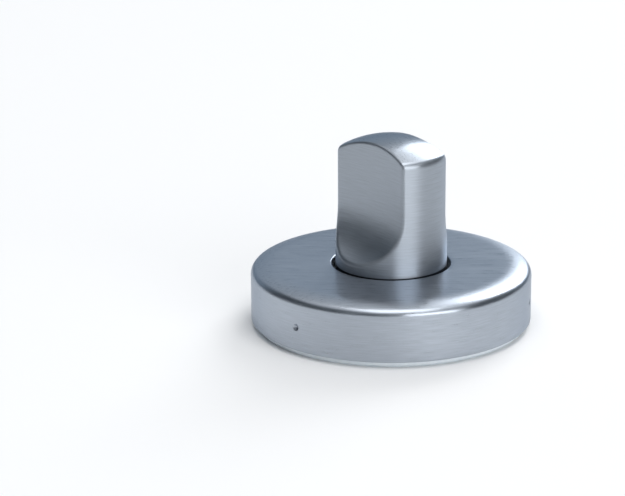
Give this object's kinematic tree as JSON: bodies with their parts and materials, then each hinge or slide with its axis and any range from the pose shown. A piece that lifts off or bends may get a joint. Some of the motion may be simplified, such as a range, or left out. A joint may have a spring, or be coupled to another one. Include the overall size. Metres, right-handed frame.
{
  "type": "thumbturn",
  "caption": "Bathroom door thumbturn: a domed knob with scooped sides turns a square spindle socket in a round rose, under a satin steel cover that clips on.",
  "frame": {"origin": "middle of the back face, which lies against the door, on the axis of the knob", "axes": "+Z out of the door along the axis of the knob, +X along the grip of the knob at rest, -Y down"},
  "size_m": [0.052, 0.052, 0.0358],
  "materials": {
    "satin_steel_cover": "satin brushed round the axis",
    "satin_steel_knob": "satin brushed across the grip",
    "white_nylon": "moulded, slightly milky",
    "plated_steel": "zinc plated stamping",
    "spring_steel": "dark phosphated spring steel"
  },
  "bodies": {
    "rose": {"rose_cover": "satin_steel_cover", "base_rose": "white_nylon"},
    "knob": {"thumb_knob": "satin_steel_knob", "stop_washer": "plated_steel", "spring_washer": "spring_steel", "circlip": "spring_steel"}
  },
  "joints": [
    {"name": "knob_turn", "type": "hinge", "parent": "rose", "child": "knob", "pos_m": [0, 0, 0.0117], "axis": [0, 0, 1], "range_deg": [-90, 90]}
  ]
}
